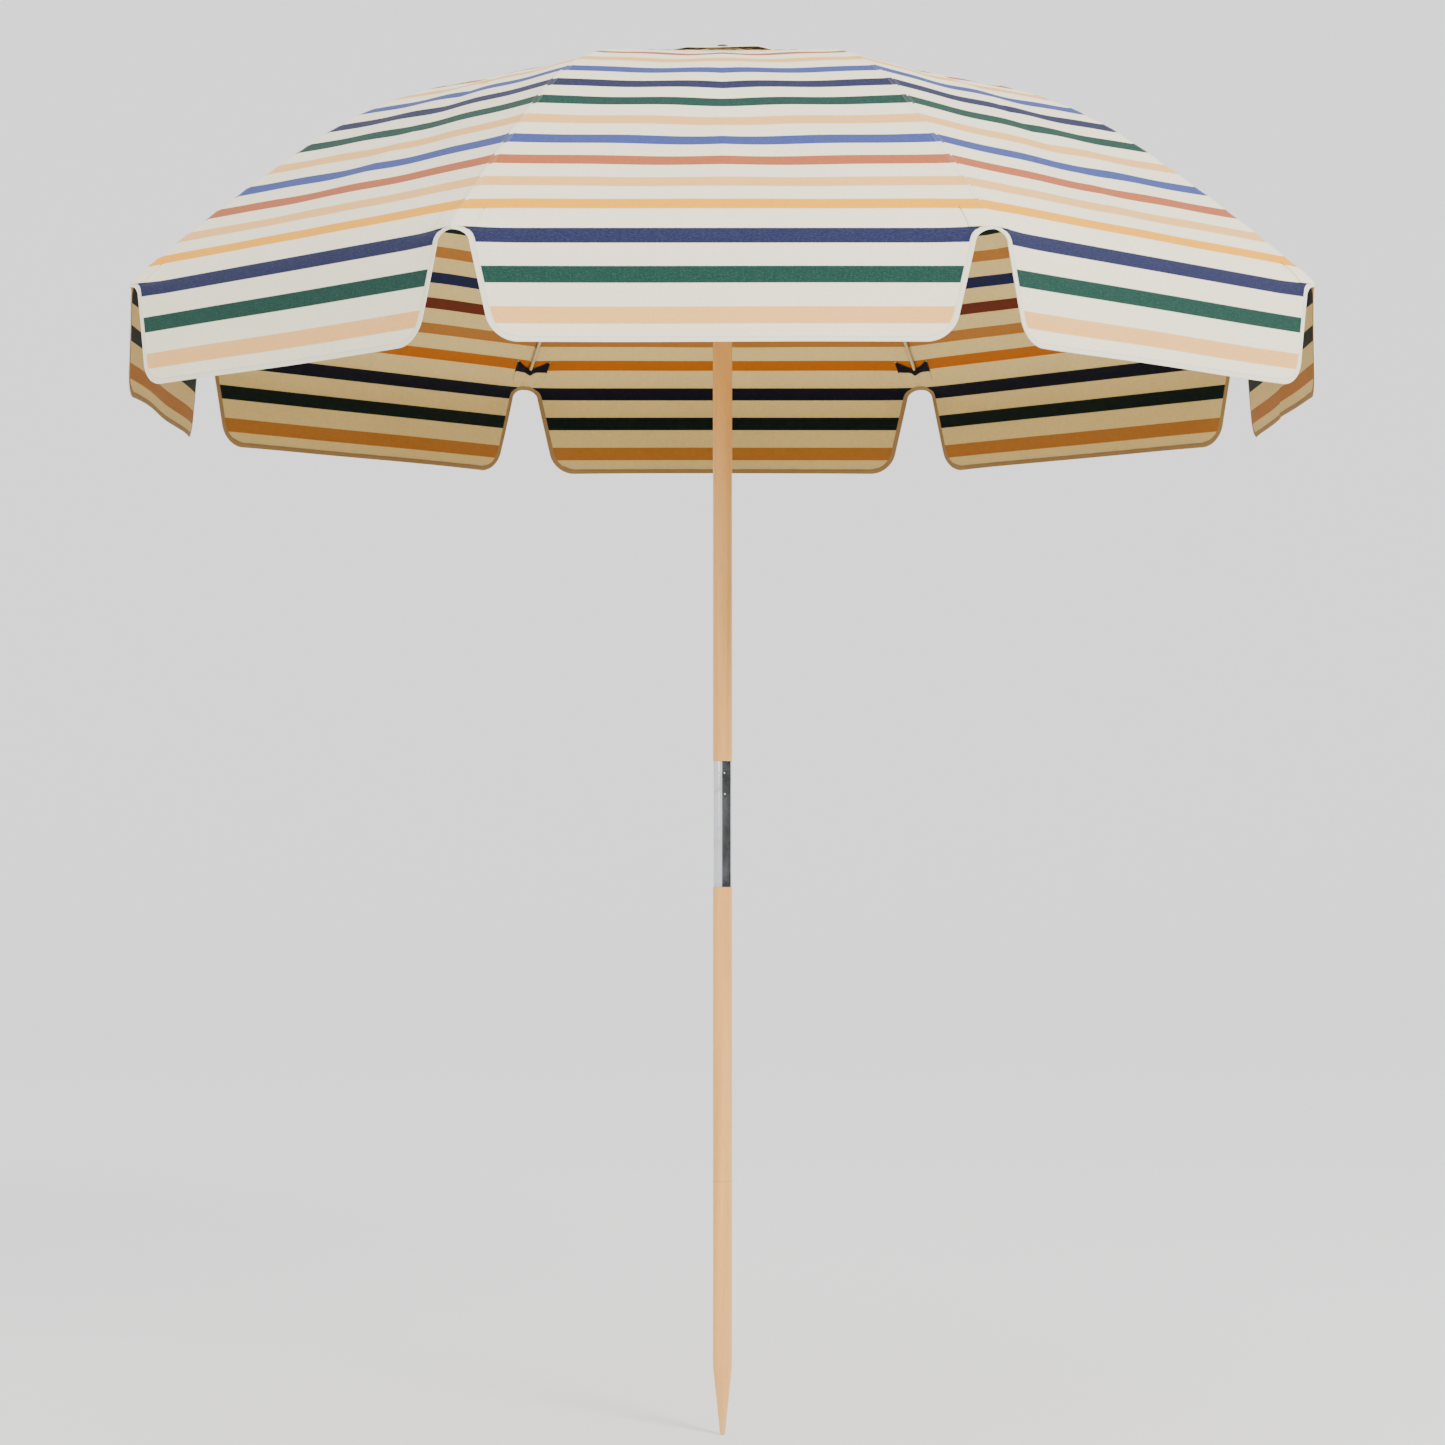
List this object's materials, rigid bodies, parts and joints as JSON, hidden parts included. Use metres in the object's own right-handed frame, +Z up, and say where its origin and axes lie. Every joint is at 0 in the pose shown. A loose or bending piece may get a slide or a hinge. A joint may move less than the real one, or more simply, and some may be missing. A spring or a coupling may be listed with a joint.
{
  "type": "beach umbrella",
  "caption": "Striped cloth beach umbrella with hanging flaps on a pointed wooden pole, with hinged ribs, stretchers, a runner and a steel joint tube.",
  "frame": {"origin": "tip of the pole's point, on its centre line", "axes": "+Z up along the pole; the front panel faces -Y and the catch faces +X"},
  "size_m": [1.8654, 1.8654, 2.3166],
  "materials": {
    "wood": "clear lacquered pale hardwood",
    "plated_steel": "plated, slightly worn",
    "bright_steel": "plain",
    "pale_plastic": "moulded",
    "black_plastic": "moulded",
    "white_enamel": "satin",
    "fibreglass": "pale resin rod",
    "canopy_cloth": "woven, off-white with coloured stripes"
  },
  "bodies": {
    "lower_pole": {"lower_pole": "wood"},
    "upper_pole": {"upper_pole": "wood", "ferrule": "plated_steel", "crown": "pale_plastic", "crown_wire": "bright_steel", "vent_cap": "canopy_cloth", "finial": "black_plastic", "panel_1": "canopy_cloth", "panel_2": "canopy_cloth", "panel_3": "canopy_cloth", "panel_4": "canopy_cloth", "panel_5": "canopy_cloth", "panel_6": "canopy_cloth", "panel_7": "canopy_cloth", "panel_8": "canopy_cloth"},
    "runner": {"runner": "pale_plastic"},
    "catch": {"catch": "bright_steel"},
    "rib_1": {"rib_1": "fibreglass", "rib_eye_1": "bright_steel", "rib_bracket_1": "pale_plastic", "bracket_pin_1": "bright_steel"},
    "stretcher_1": {"stretcher_1": "white_enamel"},
    "rib_2": {"rib_2": "fibreglass", "rib_eye_2": "bright_steel", "rib_bracket_2": "pale_plastic", "bracket_pin_2": "bright_steel"},
    "stretcher_2": {"stretcher_2": "white_enamel"},
    "rib_3": {"rib_3": "fibreglass", "rib_eye_3": "bright_steel", "rib_bracket_3": "pale_plastic", "bracket_pin_3": "bright_steel"},
    "stretcher_3": {"stretcher_3": "white_enamel"},
    "rib_4": {"rib_4": "fibreglass", "rib_eye_4": "bright_steel", "rib_bracket_4": "pale_plastic", "bracket_pin_4": "bright_steel"},
    "stretcher_4": {"stretcher_4": "white_enamel"},
    "rib_5": {"rib_5": "fibreglass", "rib_eye_5": "bright_steel", "rib_bracket_5": "pale_plastic", "bracket_pin_5": "bright_steel"},
    "stretcher_5": {"stretcher_5": "white_enamel"},
    "rib_6": {"rib_6": "fibreglass", "rib_eye_6": "bright_steel", "rib_bracket_6": "pale_plastic", "bracket_pin_6": "bright_steel"},
    "stretcher_6": {"stretcher_6": "white_enamel"},
    "rib_7": {"rib_7": "fibreglass", "rib_eye_7": "bright_steel", "rib_bracket_7": "pale_plastic", "bracket_pin_7": "bright_steel"},
    "stretcher_7": {"stretcher_7": "white_enamel"},
    "rib_8": {"rib_8": "fibreglass", "rib_eye_8": "bright_steel", "rib_bracket_8": "pale_plastic", "bracket_pin_8": "bright_steel"},
    "stretcher_8": {"stretcher_8": "white_enamel"}
  },
  "joints": [
    {"name": "pole_lift", "type": "slide", "parent": "lower_pole", "child": "upper_pole", "axis": [0, 0, 1], "range_m": [0, 0.115]},
    {"name": "runner_slide", "type": "slide", "parent": "upper_pole", "child": "runner", "axis": [0, 0, -1], "range_m": [0, 0.3589], "deforming": ["panel_1", "panel_2", "panel_3", "panel_4", "panel_5", "panel_6", "panel_7", "panel_8", "vent_cap"]},
    {"name": "catch_push", "type": "slide", "parent": "upper_pole", "child": "catch", "axis": [-1, 0, 0], "range_m": [0, 0.005], "stiffness_N_per_m": 600},
    {"name": "rib_hinge_1", "type": "hinge", "parent": "upper_pole", "child": "rib_1", "pos_m": [0.02032, 0.00842, 2.2965], "axis": [-0.3827, 0.9239, 0], "range_deg": [0, 57.01]},
    {"name": "stretcher_hinge_1", "type": "hinge", "parent": "rib_1", "child": "stretcher_1", "pos_m": [0.32177, 0.13328, 2.22391], "axis": [-0.3827, 0.9239, 0], "range_deg": [-87.98, 0]},
    {"name": "rib_hinge_2", "type": "hinge", "parent": "upper_pole", "child": "rib_2", "pos_m": [0.00842, 0.02032, 2.2965], "axis": [-0.9239, 0.3827, 0], "range_deg": [0, 57.01]},
    {"name": "stretcher_hinge_2", "type": "hinge", "parent": "rib_2", "child": "stretcher_2", "pos_m": [0.13328, 0.32177, 2.22391], "axis": [-0.9239, 0.3827, 0], "range_deg": [-87.98, 0]},
    {"name": "rib_hinge_3", "type": "hinge", "parent": "upper_pole", "child": "rib_3", "pos_m": [-0.00842, 0.02032, 2.2965], "axis": [-0.9239, -0.3827, 0], "range_deg": [0, 57.01]},
    {"name": "stretcher_hinge_3", "type": "hinge", "parent": "rib_3", "child": "stretcher_3", "pos_m": [-0.13328, 0.32177, 2.22391], "axis": [-0.9239, -0.3827, 0], "range_deg": [-87.98, 0]},
    {"name": "rib_hinge_4", "type": "hinge", "parent": "upper_pole", "child": "rib_4", "pos_m": [-0.02032, 0.00842, 2.2965], "axis": [-0.3827, -0.9239, 0], "range_deg": [0, 57.01]},
    {"name": "stretcher_hinge_4", "type": "hinge", "parent": "rib_4", "child": "stretcher_4", "pos_m": [-0.32177, 0.13328, 2.22391], "axis": [-0.3827, -0.9239, 0], "range_deg": [-87.98, 0]},
    {"name": "rib_hinge_5", "type": "hinge", "parent": "upper_pole", "child": "rib_5", "pos_m": [-0.02032, -0.00842, 2.2965], "axis": [0.3827, -0.9239, 0], "range_deg": [0, 57.01]},
    {"name": "stretcher_hinge_5", "type": "hinge", "parent": "rib_5", "child": "stretcher_5", "pos_m": [-0.32177, -0.13328, 2.22391], "axis": [0.3827, -0.9239, 0], "range_deg": [-87.98, 0]},
    {"name": "rib_hinge_6", "type": "hinge", "parent": "upper_pole", "child": "rib_6", "pos_m": [-0.00842, -0.02032, 2.2965], "axis": [0.9239, -0.3827, 0], "range_deg": [0, 57.01]},
    {"name": "stretcher_hinge_6", "type": "hinge", "parent": "rib_6", "child": "stretcher_6", "pos_m": [-0.13328, -0.32177, 2.22391], "axis": [0.9239, -0.3827, 0], "range_deg": [-87.98, 0]},
    {"name": "rib_hinge_7", "type": "hinge", "parent": "upper_pole", "child": "rib_7", "pos_m": [0.00842, -0.02032, 2.2965], "axis": [0.9239, 0.3827, 0], "range_deg": [0, 57.01]},
    {"name": "stretcher_hinge_7", "type": "hinge", "parent": "rib_7", "child": "stretcher_7", "pos_m": [0.13328, -0.32177, 2.22391], "axis": [0.9239, 0.3827, 0], "range_deg": [-87.98, 0]},
    {"name": "rib_hinge_8", "type": "hinge", "parent": "upper_pole", "child": "rib_8", "pos_m": [0.02032, -0.00842, 2.2965], "axis": [0.3827, 0.9239, 0], "range_deg": [0, 57.01]},
    {"name": "stretcher_hinge_8", "type": "hinge", "parent": "rib_8", "child": "stretcher_8", "pos_m": [0.32177, -0.13328, 2.22391], "axis": [0.3827, 0.9239, 0], "range_deg": [-87.98, 0]}
  ],
  "couplings": [
    {"joint": "rib_hinge_1", "follows": "runner_slide", "rad_per_m": 2.7719},
    {"joint": "stretcher_hinge_1", "follows": "runner_slide", "rad_per_m": -4.2778},
    {"joint": "rib_hinge_2", "follows": "runner_slide", "rad_per_m": 2.7719},
    {"joint": "stretcher_hinge_2", "follows": "runner_slide", "rad_per_m": -4.2778},
    {"joint": "rib_hinge_3", "follows": "runner_slide", "rad_per_m": 2.7719},
    {"joint": "stretcher_hinge_3", "follows": "runner_slide", "rad_per_m": -4.2778},
    {"joint": "rib_hinge_4", "follows": "runner_slide", "rad_per_m": 2.7719},
    {"joint": "stretcher_hinge_4", "follows": "runner_slide", "rad_per_m": -4.2778},
    {"joint": "rib_hinge_5", "follows": "runner_slide", "rad_per_m": 2.7719},
    {"joint": "stretcher_hinge_5", "follows": "runner_slide", "rad_per_m": -4.2778},
    {"joint": "rib_hinge_6", "follows": "runner_slide", "rad_per_m": 2.7719},
    {"joint": "stretcher_hinge_6", "follows": "runner_slide", "rad_per_m": -4.2778},
    {"joint": "rib_hinge_7", "follows": "runner_slide", "rad_per_m": 2.7719},
    {"joint": "stretcher_hinge_7", "follows": "runner_slide", "rad_per_m": -4.2778},
    {"joint": "rib_hinge_8", "follows": "runner_slide", "rad_per_m": 2.7719},
    {"joint": "stretcher_hinge_8", "follows": "runner_slide", "rad_per_m": -4.2778}
  ]
}
